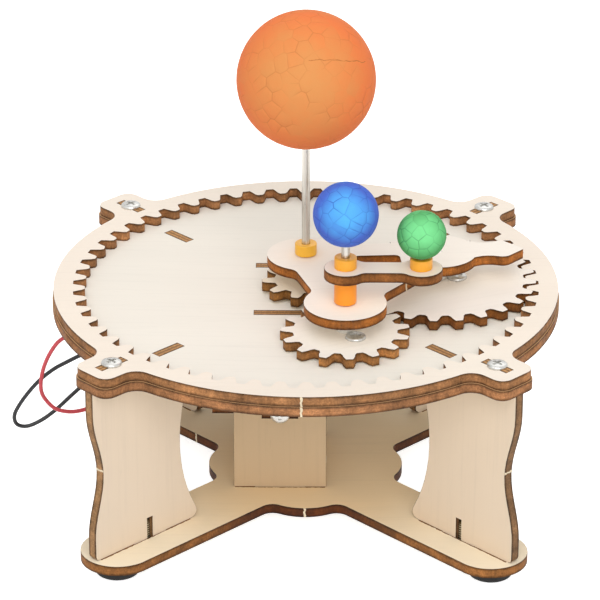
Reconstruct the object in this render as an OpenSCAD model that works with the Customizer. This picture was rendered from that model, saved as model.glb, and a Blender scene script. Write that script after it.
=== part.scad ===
// Motor-driven tellurion cut from plywood: a ring gear on four legs, and a
// revolving bridge that carries the Earth with the Moon around the Sun.
// Millimetres, +Z up, origin on the floor under the Sun's shaft.

/* [Plywood] */
// Thickness of every plywood sheet
ply_t = 3; // [2:0.1:4]
// Room on each side of a tab in its slot
tab_clear = 0.1; // [0.05:0.05:0.2]

/* [Gears] */
// Module of all the gears
gear_module = 2.28; // [2:0.02:2.4]
// Teeth of the Sun gear in the middle
sun_teeth = 10; // [9:1:12]
// Teeth of the planet gear that rolls in the ring
planet_teeth = 24; // [22:1:27]
// Teeth of the gear under the Earth
earth_teeth = 15; // [13:1:17]
// Pressure angle of the teeth
pressure_angle = 20; // [18:1:24]
// Height of a tooth over the pitch circle, in modules
addendum = 0.65; // [0.5:0.05:0.7]
// Depth of a gap under the pitch circle, in modules
dedendum = 0.9; // [0.85:0.05:1]
// Play between two meshed teeth on the pitch circle
backlash = 0.4; // [0.3:0.05:0.6]
// Gap between the gears and the deck below them
gear_lift = 0.4; // [0.3:0.1:0.8]
// How far the Sun gear sits above the other gears
sun_gear_rise = 0.6; // [0.3:0.1:1]

/* [Bridge] */
// Direction of the planet gear, seen from above
planet_angle = 3.7; // [0:0.1:10]
// Distance from the Sun to the Earth
earth_orbit = 34.6; // [33:0.1:37]
// Gap between the gears and the bridge above them
bridge_gap = 5.8; // [4:0.1:8]
// Radius of the bridge's lobes round the Sun and the planet gear
lobe_r = 11.3; // [9:0.1:12]
// Radius of the bridge's lobe round the Earth
earth_lobe_r = 11.8; // [9:0.1:12.5]
// Half width of the web between Sun and Earth
inner_web_half = 6.4; // [4.5:0.1:7]
// Half width of the web between Earth and planet gear
outer_web_half = 5.2; // [4.5:0.1:7]
// Half width of the web between planet gear and Sun
back_web_half = 6.2; // [4.5:0.1:7]
// Radius of the inside corners between lobe and web
web_fillet = 4; // [2:0.5:6]
// Reach of the pointer's tip from the Sun
pointer_reach = 64; // [60:0.5:72]
// Half width of the pointer's flared end
pointer_half = 6; // [4:0.5:8]

/* [Rods and sleeves] */
// Diameter of the steel rods
rod_d = 2.4; // [2:0.1:3]
// Outer diameter of the orange sleeves
sleeve_d = 6.4; // [5:0.1:8]
// Outer diameter of the spacers under the bridge
spacer_d = 4.6; // [3.6:0.1:4.8]
// Height of a sleeve that holds a rod
sleeve_h = 3.3; // [3:0.1:6]
// Height of the sleeve under the Moon
moon_sleeve_h = 3.2; // [2.4:0.1:6]
// Radial room of a rod that turns in a hole
run_clear = 0.06; // [0.03:0.01:0.09]
// Room between faces that turn against each other
axial_gap = 0.3; // [0.2:0.05:0.5]

/* [Balls] */
// Diameter of the Sun
sun_d = 40; // [30:0.5:50]
// Diameter of the Earth
earth_d = 18.6; // [15:0.1:24]
// Diameter of the Moon
moon_d = 14; // [10:0.1:16]
// Free rod between the Sun's sleeve and the Sun
sun_rod = 31.3; // [20:0.1:50]
// Free rod between the Earth's sleeve and the Earth
earth_rod = 3.8; // [1:0.1:10]

/* [Moon arm] */
// Distance from the Earth to the Moon
moon_orbit = 21.4; // [20:0.1:24]
// Radius of the arm's round ends
arm_lobe_r = 6.1; // [5:0.1:8]
// Half width of the arm's straight part
arm_half = 3.75; // [2.5:0.05:4.5]
// Room between the bridge and the Moon arm
arm_lift = 8; // [6:0.1:12]

/* [Deck] */
// Width of the rim outside the ring's teeth
rim_w = 6; // [5:0.1:10]
// How far the ring's edge lies inside the deck's edge
rim_step = 0.3; // [0:0.05:0.5]
// How far the ear screws stand outside the rim
ear_out = 2.2; // [1:0.1:5]
// Half width of an ear
ear_half = 7.2; // [6:0.1:9]
// Wood of an ear outside its screw
ear_end = 8.9; // [7:0.1:10]
// Radius of the inside corners beside an ear
ear_fillet = 5; // [3:0.5:8]

/* [Legs] */
// Height of the legs between base and deck
leg_h = 53.5; // [48:0.5:70]
// Width of a leg at its top and bottom
leg_w = 41; // [36:0.5:43]
// Depth of the leg's outer waist
leg_waist = 3.5; // [2:0.1:5]
// Depth of the leg's inner bow
leg_bow = 8; // [4:0.1:10]
// Length of a leg's tab in the base
tab_long = 12.6; // [10:0.1:14]
// Length of a leg's two tabs in the deck
tab_short = 9.6; // [8:0.1:12]
// Distance of the base screws inside the ear screws
base_screw_in = 12; // [9:0.5:16]

/* [Base] */
// Half width of the base's arms
base_half = 10.9; // [9:0.1:14]
// Radius of the bulges between the arms
bulge_r = 15; // [12:0.5:18]
// Reach of the bulges from the middle
bulge_reach = 28.9; // [26:0.1:32]
// Radius of the wider bulge at the back
back_bulge_r = 24; // [20:0.5:28]
// Reach of the bulge at the back
back_bulge_reach = 36.5; // [34:0.1:40]
// Radius of the inside corners of the base
base_fillet = 4; // [1:0.5:5]
// Diameter of the rubber feet
foot_d = 13; // [8:0.1:16]
// Height of the rubber feet
foot_h = 4.2; // [2.4:0.1:5]

/* [Motor] */
// Length of the flat gearbox
gearbox_l = 37; // [34:0.5:42]
// Gearbox in front of its turning spindle
gearbox_nose = 11.1; // [10:0.1:13]
// Width of the gearbox
gearbox_w = 22.5; // [20:0.1:24]
// Height of the gearbox
gearbox_h = 18.8; // [16:0.1:22]
// Width of the motor can
can_d = 20; // [16:0.1:20]
// Height of the motor can between its flats
can_flat = 15.2; // [12:0.1:16]
// Length of the motor can
can_l = 25; // [20:0.5:28]
// Diameter of the spindle on top of the gearbox
spindle_d = 5.4; // [4.6:0.1:7]
// Room between the gearbox and the front panel
front_room = 1.4; // [0.6:0.1:2]
// Room between the gearbox and the back panel
back_room = 5.4; // [3:0.1:6]
// Height of the shelf over the base
shelf_z = 22.8; // [20:0.1:26]
// Length of the shelf
shelf_l = 40; // [38:0.5:46]
// Width of the two panels
panel_w = 27.2; // [20:0.1:30]
// Length of the tabs of the panels
panel_tab = 15; // [10:0.1:18]
// Length of the shelf's tabs
shelf_tab = 10.3; // [8:0.1:14]

/* [Screws] */
// Diameter of the screw shanks
screw_d = 1.9; // [1.6:0.1:2.4]
// Room around a shank in its slot
screw_clear = 0.1; // [0.05:0.05:0.2]
// Diameter of the screw heads
head_d = 5.9; // [5:0.1:7]
// Height of the screw heads
head_h = 1.3; // [1.2:0.1:2.2]
// Length of the shanks in the base and the shelf
shank_l = 8.5; // [7:0.1:10]
// Length of the shanks in the deck
deck_shank_l = 5; // [4:0.1:5.4]

/* [Battery box] */
// Length of the box
box_l = 57.6; // [50:0.1:58.6]
// Width of the box
box_w = 31.4; // [26:0.1:34]
// Height of the box with its lid
box_h = 16.6; // [14:0.1:20]
// Wall of the box
box_wall = 1; // [0.8:0.1:1.2]
// Distance between the back panel and the box
box_back = 4.5; // [2:0.1:8]
// Room round each cell
cell_clear = 0.2; // [0.1:0.05:0.4]
// Room for the contacts at both ends of a cell
contact_room = 3.2; // [2:0.1:4]
// Travel of the switch
switch_travel = 3; // [2:0.1:4]

/* [Wires] */
// Diameter of the two wires
wire_d = 1.2; // [1:0.1:1.6]

/* [Hidden] */
$fn = 64;

// Colours of wood, plastic and metal
wood = "burlywood";
orange = "orange";
white = "whitesmoke";
steel = "silver";

// Heights of the sheets, from the floor up
base_z = foot_h;
base_top = base_z + ply_t;
deck_z = base_top + leg_h;
ring_z = deck_z + ply_t;
ring_top = ring_z + ply_t;
gear_z = ring_z + gear_lift;
gear_top = gear_z + ply_t;
bridge_z = gear_top + bridge_gap;
bridge_top = bridge_z + ply_t;
arm_z = bridge_top + arm_lift;
arm_top = arm_z + ply_t;
sun_gear_z = gear_z + sun_gear_rise;
shelf_bottom = base_top + shelf_z;
shelf_top = shelf_bottom + ply_t;

// Gear train
ring_teeth = sun_teeth + 2 * planet_teeth;
function pitch_r(teeth) = gear_module * teeth / 2;
planet_orbit = pitch_r(sun_teeth + planet_teeth);
mesh_distance = pitch_r(planet_teeth + earth_teeth);
// Angle at the Sun between planet gear and Earth, from the triangle's three sides
spread = acos((pow(planet_orbit, 2) + pow(earth_orbit, 2) - pow(mesh_distance, 2))
    / (2 * planet_orbit * earth_orbit));
earth_angle = planet_angle - spread;
function polar(r, a) = [r * cos(a), r * sin(a)];
planet_at = polar(planet_orbit, planet_angle);
earth_at = polar(earth_orbit, earth_angle);
moon_at = earth_at + [moon_orbit, 0];
mesh_angle = atan2(earth_at[1] - planet_at[1], earth_at[0] - planet_at[0]);
// Turns that put a tooth of the ring and of the Sun gear into gaps of the planet gear
planet_turn = planet_angle + 180 / planet_teeth;
sun_turn = planet_angle + (planet_teeth % 2) * 180 / sun_teeth;
// Turn of the Earth's gear that puts its gap where the planet's tooth is
earth_phase = mesh_angle + 180 - (planet_turn - mesh_angle) * planet_teeth / earth_teeth
    + 180 / earth_teeth;

// Deck, legs and base, from the ring outwards
ring_root_r = pitch_r(ring_teeth) + dedendum * gear_module;
deck_r = ring_root_r + rim_w;
ear_r = deck_r + ear_out;
ear_tip = ear_r + ear_end;
ear_corner = 3.5;
leg_set_in = 0.1;
leg_out = ear_tip - leg_set_in;
leg_in = leg_out - leg_w;
leg_mid = base_top + leg_h / 2;
leg_corner = 1.5;
short_tab_in = 10.6;
short_tab_r = leg_in + short_tab_in;
base_screw_r = ear_r - base_screw_in;
arm_past_leg = 1;
arm_end_r = leg_out + arm_past_leg - base_half;
foot_set_in = 0.6;
foot_r = ear_r - foot_set_in;
slot_w = screw_d + 2 * screw_clear;
leg_slot_h = shank_l + 1;
deck_slot_h = deck_shank_l + 0.5;
leg_angles = [225, 315, 135, 45];

// Motor lying on the shelf between two panels, its spindle under the Sun
motor_x = gearbox_l / 2 - gearbox_nose;
front_panel_y = -gearbox_w / 2 - front_room - ply_t;
back_panel_y = gearbox_w / 2 + back_room;
panel_mid_y = (front_panel_y + back_panel_y + ply_t) / 2;
panel_gap = back_panel_y - front_panel_y - ply_t;
gearbox_top = shelf_top + gearbox_h;
can_x = gearbox_nose - gearbox_l;
can_end = can_x - can_l;
can_z = shelf_top + gearbox_h / 2;
cap_l = 2.5;
cap_end = can_end - cap_l;
spindle_deep = gearbox_h * 0.6;
spindle_gap = 0.6;
shaft_seat = 2;
mount_x = can_x + 5.6;
mount_y = gearbox_w / 2 - 2.5;

// Battery box under the deck, behind the back panel
box_y = back_panel_y + ply_t + box_back;
box_z = deck_z - box_h;
lid_t = box_wall;
box_floor = 1;
switch_room = 0.6;
cell_pitch = (box_w - 2 * box_wall - switch_room) / 2;
cell_high = box_h - lid_t - box_floor - 2 * cell_clear;
cell_d = min(cell_pitch - cell_clear, cell_high);
cell_l = box_l - 2 * box_wall - 2 * contact_room;
cell_y = box_y + box_wall + cell_pitch / 2;
cell_z = box_z + lid_t + cell_clear + cell_d / 2;
switch_w = 3;
switch_h = 2.6;
switch_proud = 1.6;
switch_slot_clear = 0.3;
switch_x = -16;
switch_z = deck_z - 3.4;

// Wires from the motor's solder tags round the outside to the battery box
wire_sides = 8;
tag_y = 6;
tag_l = 3;
red_start = [cap_end - tag_l, -tag_y, can_z];
black_start = [cap_end - tag_l, tag_y, can_z];
red_route = [[-59, -6, 43.5], [-62, -5.6, 46.5], [-65.5, -5, 49.4], [-69, -4.6, 50.4], [-72.4, -4.2, 48.6],
    [-75.2, -4, 44.6], [-77.2, -4, 40], [-78.2, -4, 35.4], [-78.2, -3.8, 31.6], [-77, -3, 28.4],
    [-74.4, -2.6, 25.4], [-71, -1.4, 23.8], [-67.6, -0.2, 23.4], [-64.2, 1.6, 23.8], [-59.6, 5, 25.6],
    [-54, 9.4, 29], [-47, 13.6, 34.4], [-40, 17.2, 40.4], [-34, 20, 45.6], [-29.6, 21.6, 48.4],
    [-27, 22.6, 49]];
black_route = [[-59.4, 5.8, 41.6], [-63, 5, 41], [-67, 4.4, 39.6], [-71, 4, 37.6], [-75, 4, 35.2],
    [-79, 4, 31.8], [-82.6, 4, 27.6], [-85.6, 4, 23.2], [-87.2, 4, 19.6], [-86.6, 4.2, 16.6],
    [-83.6, 4.8, 15.6], [-79.4, 6, 17], [-75, 7.6, 19.8], [-70.4, 9.6, 23.6], [-65.6, 11.6, 27.4],
    [-60, 13.6, 31.4], [-53, 15.8, 36], [-46, 17.6, 40.6], [-39.6, 19.4, 45.4], [-34, 21.4, 50],
    [-29.6, 22.6, 52.4], [-27, 23.2, 53]];
red_end = [-25.4, box_y, deck_z - 11];
black_end = [-25.4, box_y, deck_z - 7];
// The routes are written for a deck at this height and rise with it
route_deck_z = 60;
function raised(route) = [for (p = route) p + [0, 0, deck_z - route_deck_z]];

// Points of an arc from one angle to another
function arc(c, r, a0, a1, n = 8) = [for (i = [0:n]) c + polar(r, a0 + (a1 - a0) * i / n)];

function unit(v) = v / norm(v);

// Outlines that join a round reach this far into it
merge = 0.04;

// Points that round the corner at b between a and c
function corner(a, b, c, r, n) = r <= 0 ? [b] :
    let (u = unit(a - b), v = unit(c - b), half = acos(u * v) / 2,
        mid = b + unit(u + v) * r / sin(half),
        from = b + u * r / tan(half) - mid, to = b + v * r / tan(half) - mid,
        a0 = atan2(from[1], from[0]), turn = atan2(to[1], to[0]) - a0,
        step = turn > 180 ? turn - 360 : turn < -180 ? turn + 360 : turn)
    [for (i = [0:n]) mid + polar(r, a0 + step * i / n)];

// Outline through corners given as x, y and corner radius
function rounded(p, n = 5) = [for (i = [0:len(p) - 1])
    let (q = p[(i + len(p) - 1) % len(p)], s = p[i], t = p[(i + 1) % len(p)])
    each corner([q[0], q[1]], [s[0], s[1]], [t[0], t[1]], s[2], n)];

// Sheet of plywood with this outline, from height z up
module sheet(z) {
    translate([0, 0, z])
        linear_extrude(ply_t)
            children();
}

// Holes of this outline through a sheet at height z
module holes(z) {
    translate([0, 0, z - 1])
        linear_extrude(ply_t + 2)
            children();
}

// Straight web between two lobes of radius ra and rb, with filleted inside corners on its left side
function web_side(a, b, ra, rb, half, f) =
    let (d = norm(b - a), dir = atan2(b[1] - a[1], b[0] - a[0]),
        on_a = sqrt(pow(ra - merge + f, 2) - pow(half + f, 2)),
        on_b = sqrt(pow(rb - merge + f, 2) - pow(half + f, 2)),
        local = concat([[0, 0]],
            arc([on_a, half + f], f, atan2(half + f, on_a) + 180, 270, 5),
            arc([d - on_b, half + f], f, 270, 360 - atan2(half + f, on_b), 5),
            [[d, 0]]))
    [for (p = local) a + [p[0] * cos(dir) - p[1] * sin(dir), p[0] * sin(dir) + p[1] * cos(dir)]];

// Angle between a point of the involute and its start, at radius r
function involute(base, r) = let (a = acos(min(1, base / r))) tan(a) * 180 / PI - a;

// Outline of a spur gear with a tooth at angle zero
function gear_outline(teeth, up, down, play, n = 4) =
    let (p = pitch_r(teeth), base = p * cos(pressure_angle), tip = p + up, root = p - down,
        low = max(base, root + 0.35 * gear_module),
        half = 90 / teeth - play / 2 / p * 90 / PI + involute(base, p),
        side = [for (i = [0:n]) let (r = low + (tip - low) * i / n) [r, half - involute(base, r)]],
        foot = [root, side[0][1] + 0.3 * gear_module / p * 180 / PI * min(1, teeth / 12)],
        tooth = concat([foot], side))
    [for (k = [0:teeth - 1])
        let (at = k * 360 / teeth)
        each concat([for (s = tooth) polar(s[0], at - s[1])],
            [for (i = [len(tooth) - 1:-1:0]) polar(tooth[i][0], at + tooth[i][1])])];

// Plywood gear with a round hole
module gear(teeth, turn, z, hole_r) {
    sheet(z)
        difference() {
            rotate(turn)
                polygon(gear_outline(teeth, addendum * gear_module, dedendum * gear_module, backlash));
            circle(hole_r);
        }
}

// Sleeve or spacer that a rod is pressed into
module sleeve(z, h, d = sleeve_d, tint = orange) {
    color(tint)
        translate([0, 0, z])
            difference() {
                cylinder(d = d, h = h);
                translate([0, 0, -1])
                    cylinder(d = rod_d, h = h + 2);
            }
}

// Steel rod between two heights
module rod(z0, z1) {
    color(steel)
        translate([0, 0, z0])
            cylinder(d = rod_d, h = z1 - z0);
}

// Cross-headed screw that points down, with its head on z = 0
module screw(shank) {
    dome = 0.6;
    cross_l = head_d * 0.56;
    cross_w = 0.9;
    cross_deep = head_h * 0.6;
    color(steel)
        difference() {
            union() {
                translate([0, 0, -shank])
                    cylinder(d = screw_d, h = shank + head_h / 2);
                rotate_extrude()
                    polygon(concat([[0, 0], [head_d / 2, 0]],
                        arc([head_d / 2 - dome, head_h - dome - 0.4], dome, 0, 60, 4),
                        [[0, head_h]]));
            }
            for (a = [0, 90])
                rotate(a)
                    translate([-cross_l / 2, -cross_w / 2, head_h - cross_deep])
                        cube([cross_l, cross_w, head_h]);
        }
}

// Foam ball that is pushed onto a rod from below
module ball(z, d, hole_deep, paint) {
    color(paint)
        translate([0, 0, z])
            difference() {
                sphere(d = d);
                translate([0, 0, -d / 2 - 1])
                    cylinder(d = rod_d, h = hole_deep + 1);
            }
}

// Slot for a tab of this length, lying along x
module tab_slot(l) {
    square([l + 2 * tab_clear, ply_t + 2 * tab_clear], center = true);
}

// Base: four round-ended arms, with a bulge between each two
function base_notch(radius, far) =
    let (edge = base_half * sqrt(2) - merge, mid = far - radius,
        c = edge + base_fillet * sqrt(2) - mid,
        reach = radius + base_fillet,
        u = (sqrt(2 * reach * reach - c * c) - c) / 2,
        w = u + edge + base_fillet * sqrt(2),
        lean = atan2(mid - w, -u))
    concat([[0, 0]],
        arc([u, w], base_fillet, -45, lean, 5),
        arc([0, mid], radius, lean + 180, -lean, 12),
        arc([-u, w], base_fillet, 180 - lean - 360, -135, 5));

module base_outline() {
    polygon(base_notch(back_bulge_r, back_bulge_reach));
    for (a = [90, 180, 270])
        rotate(a)
            polygon(base_notch(bulge_r, bulge_reach));
    for (a = leg_angles)
        rotate(a) {
            translate([arm_end_r, 0])
                circle(base_half + merge);
            translate([0, -base_half])
                square([arm_end_r, 2 * base_half]);
        }
}

module base_plate() {
    color(wood)
        sheet(base_z)
            difference() {
                base_outline();
                for (a = leg_angles)
                    rotate(a)
                        translate([base_screw_r, 0])
                            tab_slot(tab_long);
                for (y = [front_panel_y, back_panel_y])
                    translate([-motor_x, y + ply_t / 2])
                        tab_slot(panel_tab);
            }
}

// Leg: waisted sheet with tabs below and above, drawn in radius and height
function leg_outline() =
    let (waist_half = leg_h * 0.37, toe_share = 0.84,
        waist = [for (i = [0:16]) let (z = -1 + i / 8)
            [leg_out - leg_waist * (1 + cos(180 * z)) / 2, leg_mid + z * waist_half]],
        bow_r = (pow(leg_h / 2, 2) + pow(leg_bow, 2)) / 2 / leg_bow,
        span = asin(leg_h / 2 / bow_r), toe = span * toe_share,
        bow_end = [leg_in + leg_bow - bow_r + bow_r * cos(toe), leg_mid - bow_r * sin(toe)],
        toe_tip = [bow_end[0] - (bow_end[1] - base_top) * tan(toe), base_top],
        toe_r = 0.85 * norm(bow_end - toe_tip) * tan(45 - toe / 2))
    concat(corner([leg_in, base_top], [leg_out, base_top], [leg_out, leg_mid], leg_corner, 3),
        waist,
        [[leg_out, deck_z], [leg_in, deck_z]],
        arc([leg_in + leg_bow - bow_r, leg_mid], bow_r, span * 0.98, -toe, 14),
        corner(bow_end, toe_tip, [leg_out, base_top], toe_r, 4));

module leg(a) {
    bite = 1;
    color(wood)
        rotate(a)
            translate([0, ply_t / 2, 0])
                rotate([90, 0, 0])
                    linear_extrude(ply_t)
                        difference() {
                            union() {
                                polygon(leg_outline());
                                translate([base_screw_r - tab_long / 2, base_z])
                                    square([tab_long, ply_t + bite]);
                                translate([ear_r - tab_short / 2, deck_z - bite])
                                    square([tab_short, 2 * ply_t + bite]);
                                translate([short_tab_r - tab_short / 2, deck_z - bite])
                                    square([tab_short, ply_t + bite]);
                            }
                            translate([base_screw_r - slot_w / 2, base_z - 1])
                                square([slot_w, leg_slot_h + 1]);
                            translate([ear_r - slot_w / 2, ring_top - deck_slot_h])
                                square([slot_w, deck_slot_h + 1]);
                        }
}

module leg_front_left() {
    leg(leg_angles[0]);
}

module leg_front_right() {
    leg(leg_angles[1]);
}

module leg_back_left() {
    leg(leg_angles[2]);
}

module leg_back_right() {
    leg(leg_angles[3]);
}

module foot_pads() {
    taper = 0.4;
    color("dimgray")
        for (a = leg_angles)
            translate(concat(polar(foot_r, a), 0))
                rotate_extrude()
                    polygon([[0, 0], [foot_d / 2 - taper, 0], [foot_d / 2, taper],
                        [foot_d / 2, foot_h], [0, foot_h]]);
}

module base_screws() {
    for (a = leg_angles)
        translate(concat(polar(base_screw_r, a), base_z))
            rotate([180, 0, a])
                screw(shank_l);
}

// Disc with four ears and their slots, shared by the deck and the ring
module deck_sheet(z, step) {
    r = deck_r - step;
    half = ear_half - step;
    tip = ear_tip - step;
    along = sqrt(pow(r - merge + ear_fillet, 2) - pow(half + ear_fillet, 2));
    lean = atan2(half + ear_fillet, along);
    side = concat(arc([along, half + ear_fillet], ear_fillet, lean + 180, 270, 6),
        arc([tip - ear_corner, half - ear_corner], ear_corner, 90, 0, 5));
    back = [for (i = [len(side) - 1:-1:0]) [side[i][0], -side[i][1]]];
    root = r - rim_w / 2;
    difference() {
        union() {
            sheet(z)
                circle(r, $fn = 128);
            for (a = leg_angles)
                rotate(a)
                    sheet(z)
                        polygon(concat([[root, -half], [root, half]], side, back));
        }
        for (a = leg_angles)
            rotate(a)
                holes(z)
                    translate([ear_r, 0])
                        tab_slot(tab_short);
    }
}

module deck_plate() {
    color(wood)
        difference() {
            deck_sheet(deck_z, 0);
            for (a = leg_angles)
                rotate(a)
                    holes(deck_z)
                        translate([short_tab_r, 0])
                            tab_slot(tab_short);
            for (y = [front_panel_y, back_panel_y])
                holes(deck_z)
                    translate([-motor_x, y + ply_t / 2])
                        tab_slot(panel_tab);
            holes(deck_z)
                circle(rod_d / 2 + run_clear);
        }
}

module ring_gear() {
    color(wood)
        difference() {
            deck_sheet(ring_z, rim_step);
            holes(ring_z)
                rotate(planet_angle + 180 / ring_teeth)
                    polygon(gear_outline(ring_teeth, dedendum * gear_module,
                        addendum * gear_module, -backlash));
        }
}

module deck_screws() {
    for (a = leg_angles)
        translate(concat(polar(ear_r, a), ring_top))
            rotate(a)
                screw(deck_shank_l);
}

// Panel between base and deck, with a slot for the shelf's tab
module panel(y) {
    color(wood)
        translate([-motor_x, y + ply_t, 0])
            rotate([90, 0, 0])
                linear_extrude(ply_t)
                    difference() {
                        union() {
                            translate([-panel_w / 2, base_top])
                                square([panel_w, leg_h]);
                            translate([-panel_tab / 2, base_z])
                                square([panel_tab, leg_h + 2 * ply_t]);
                        }
                        translate([0, shelf_bottom + ply_t / 2])
                            tab_slot(shelf_tab);
                    }
}

module front_panel() {
    panel(front_panel_y);
}

module back_panel() {
    panel(back_panel_y);
}

module motor_shelf() {
    depth = panel_gap / 2;
    color(wood)
        translate([-motor_x, panel_mid_y, 0])
            sheet(shelf_bottom)
                difference() {
                    union() {
                        square([shelf_l, panel_gap], center = true);
                        square([shelf_tab, panel_gap + 2 * ply_t], center = true);
                    }
                    for (s = [-1, 1]) {
                        translate([-slot_w / 2, s * (depth + ply_t) - leg_slot_h])
                            square([slot_w, 2 * leg_slot_h]);
                        translate([mount_x + motor_x, s * mount_y - panel_mid_y])
                            circle(d = screw_d + 2 * screw_clear);
                    }
                }
}

module panel_screws() {
    for (s = [-1, 1])
        translate([-motor_x, panel_mid_y + s * (panel_gap / 2 + ply_t), shelf_bottom + ply_t / 2])
            rotate([-s * 90, 0, 0])
                screw(shank_l);
}

// Flat gearbox in two shells, with a collar round its spindle
module gearbox_shell(z, h, inset) {
    round_end = gearbox_w / 2 - 3;
    x0 = can_x + inset;
    x1 = gearbox_nose - inset;
    y1 = gearbox_w / 2 - inset;
    translate([0, 0, z])
        linear_extrude(h)
            polygon(rounded([[x0, -y1, 1.5], [x1, -y1, round_end], [x1, y1, round_end], [x0, y1, 1.5]]));
}

module motor_gearbox() {
    seam = gearbox_h * 0.55;
    collar_h = 0.8;
    color("gold")
        difference() {
            union() {
                gearbox_shell(shelf_top, seam, 0);
                gearbox_shell(shelf_top + 1, gearbox_h - 1, 0.3);
                translate([0, 0, gearbox_top - 1])
                    cylinder(d = spindle_d + 3, h = collar_h + 1);
            }
            translate([0, 0, gearbox_top - spindle_deep])
                cylinder(r = spindle_d / 2 + run_clear, h = spindle_deep + 2);
            for (s = [-1, 1])
                translate([mount_x, s * mount_y, shelf_top - 1])
                    cylinder(d = screw_d + 2 * screw_clear, h = gearbox_h + 2);
        }
}

// Round bar along x with flats above and below, from x0 towards the left
module can_bar(x0, l, d, flat) {
    translate([x0 - l, 0, can_z])
        intersection() {
            rotate([0, 90, 0])
                cylinder(d = d, h = l);
            translate([0, -d, -flat / 2])
                cube([l, 2 * d, flat]);
        }
}

module motor_can() {
    color(steel)
        can_bar(can_x, can_l, can_d, can_flat);
}

module motor_cap() {
    rim = 0.8;
    boss_l = 1.6;
    color("ivory") {
        can_bar(can_end, cap_l, can_d - 2 * rim, can_flat - 2 * rim);
        translate([cap_end - boss_l, 0, can_z])
            rotate([0, 90, 0])
                cylinder(d = 6, h = boss_l + 1);
    }
}

// Band round the can, tied to the gearbox by two bars
module motor_strap() {
    thick = 0.8;
    band = 6;
    hold = 14;
    color("whitesmoke") {
        difference() {
            can_bar(can_x - hold, band, can_d + 2 * thick, can_flat + 2 * thick);
            can_bar(can_x - hold + 1, band + 2, can_d, can_flat);
        }
        for (s = [-1, 1])
            translate([can_x - hold - 1, s * (can_d / 2 + thick / 2) - thick / 2, can_z - 2])
                cube([hold + 1, thick, 4]);
    }
}

// Solder tags on the cap, one for each wire
module motor_terminals() {
    tag_w = 0.8;
    tag_h = 2.4;
    color("goldenrod")
        for (s = [-1, 1])
            translate([cap_end - tag_l, s * tag_y - tag_w / 2, can_z - tag_h / 2])
                cube([tag_l, tag_w, tag_h]);
}

module motor_screws() {
    into_box = gearbox_h * 0.7;
    for (s = [-1, 1])
        translate([mount_x, s * mount_y, shelf_bottom])
            rotate([180, 0, 0])
                screw(ply_t + into_box);
}

module battery_box() {
    slot_l = switch_w + switch_travel + 2 * switch_slot_clear;
    slot_h = switch_h + 2 * switch_slot_clear;
    color("dimgray")
        difference() {
            translate([-box_l / 2, box_y, box_z + lid_t])
                cube([box_l, box_w, box_h - lid_t]);
            translate([-box_l / 2 + box_wall, box_y + box_wall, box_z])
                cube([box_l - 2 * box_wall, box_w - 2 * box_wall, box_h - box_floor]);
            translate([switch_x - switch_w / 2 - switch_slot_clear, box_y + box_w - box_wall - 1,
                switch_z - slot_h / 2])
                cube([slot_l, box_wall + 2, slot_h]);
        }
}

module battery_lid() {
    rib = 1.2;
    rib_clear = 0.2;
    color("dimgray") {
        translate([-box_l / 2, box_y, box_z])
            cube([box_l, box_w, lid_t]);
        for (x = [-box_l / 2 + box_wall + rib_clear, box_l / 2 - box_wall - rib_clear - rib])
            translate([x, box_y + box_w / 4, box_z])
                cube([rib, box_w / 2, lid_t + rib]);
    }
}

module battery_cells() {
    tip_d = 3.8;
    tip_l = 0.9;
    color("olivedrab")
        for (s = [-1, 1])
            translate([-s * cell_l / 2, cell_y + (s + 1) * cell_pitch / 2, cell_z])
                rotate([0, s * 90, 0]) {
                    cylinder(d = cell_d, h = cell_l);
                    cylinder(d = tip_d, h = cell_l + tip_l);
                }
}

// Switch button that slides along the back of the battery box
module switch_slider() {
    inner = 0.3;
    color("white")
        translate([switch_x - switch_w / 2, box_y + box_w - box_wall - inner, switch_z - switch_h / 2])
            cube([switch_w, box_wall + inner + switch_proud, switch_h]);
}

// Frame across a path at one of its points
function tangent(p, i) = unit(p[min(i + 1, len(p) - 1)] - p[max(i - 1, 0)]);

// Round wire swept along a path, from flat end to flat end
module wire(p, paint) {
    r = wire_d / 2;
    s = wire_sides;
    n = len(p);
    points = [for (i = [0:n - 1])
        let (t = tangent(p, i), u = unit(cross(t, [0, 0.2, 1])), v = cross(t, u))
        for (k = [0:s - 1]) p[i] + r * (u * cos(k * 360 / s) + v * sin(k * 360 / s))];
    sides = [for (i = [0:n - 2], k = [0:s - 1])
        let (a = i * s + k, b = i * s + (k + 1) % s)
        each [[a, a + s, b], [b, a + s, b + s]]];
    caps = [for (k = [1:s - 2]) each [[0, k, k + 1], [(n - 1) * s, (n - 1) * s + k + 1, (n - 1) * s + k]]];
    color(paint)
        polyhedron(points, concat(sides, caps));
}

module red_wire() {
    wire(concat([red_start], raised(red_route), [red_end]), "firebrick");
}

module black_wire() {
    wire(concat([black_start], raised(black_route), [black_end]), "black");
}

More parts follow.
